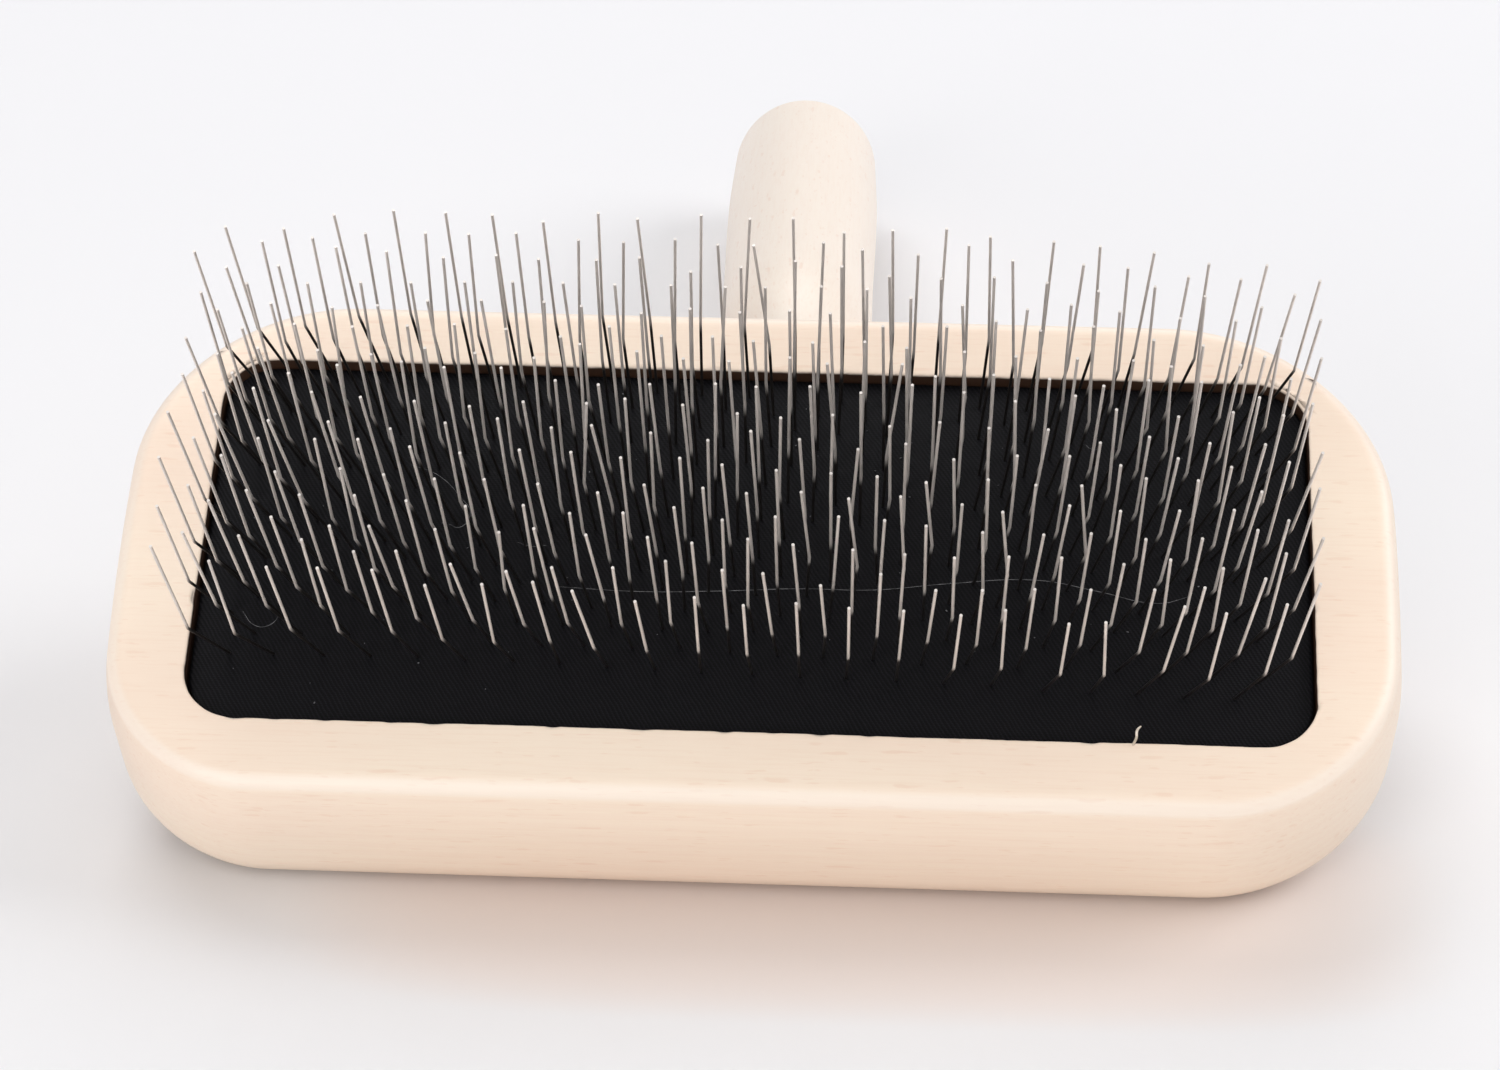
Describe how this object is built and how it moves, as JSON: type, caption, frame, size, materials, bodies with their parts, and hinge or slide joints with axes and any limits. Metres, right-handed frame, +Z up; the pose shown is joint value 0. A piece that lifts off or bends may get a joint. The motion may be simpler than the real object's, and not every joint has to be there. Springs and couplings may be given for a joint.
{
  "type": "slicker brush",
  "caption": "Pet slicker brush: rounded wooden head with a cushioned black pad of kneed wire pins and an angled round handle.",
  "frame": {"origin": "on the table, under the middle of the whole brush as it lies on its back, resting on the head's front edge and the handle's end", "axes": "+X along the head, +Y from the head towards the handle's end, +Z up, the way the pins stand"},
  "size_m": [0.13, 0.1782, 0.0628],
  "materials": {
    "head_wood": "pale beech, fine sanded, satin clear coat",
    "handle_wood": "pale beech, turned, satin clear coat",
    "dowel_wood": "raw fluted beech dowel",
    "twill_cloth": "black fine twill, matte with a slight sheen",
    "rubber": "matte black natural rubber sheet",
    "backing_cloth": "plain woven cotton",
    "foam": "open cell foam",
    "steel_wire": "drawn bright steel wire"
  },
  "bodies": {
    "head": {"head_block": "head_wood", "handle": "handle_wood", "handle_dowel": "dowel_wood", "foam_cushion": "foam"},
    "pad": {"backing_cloth": "backing_cloth", "rubber_foundation": "rubber", "face_cloth": "twill_cloth", "staple_row_01": "steel_wire", "staple_row_02": "steel_wire", "staple_row_03": "steel_wire", "staple_row_04": "steel_wire", "staple_row_05": "steel_wire", "staple_row_06": "steel_wire", "staple_row_07": "steel_wire", "staple_row_08": "steel_wire", "staple_row_09": "steel_wire", "staple_row_10": "steel_wire", "staple_row_11": "steel_wire", "staple_row_12": "steel_wire", "staple_row_13": "steel_wire", "staple_row_14": "steel_wire", "staple_row_15": "steel_wire", "staple_row_16": "steel_wire"}
  },
  "joints": [
    {"name": "pad_press", "type": "slide", "parent": "head", "child": "pad", "axis": [0, -0.4705, 0.8824], "range_m": [-0.0015, 0], "stiffness_N_per_m": 9000, "deforming": ["foam_cushion"]}
  ]
}
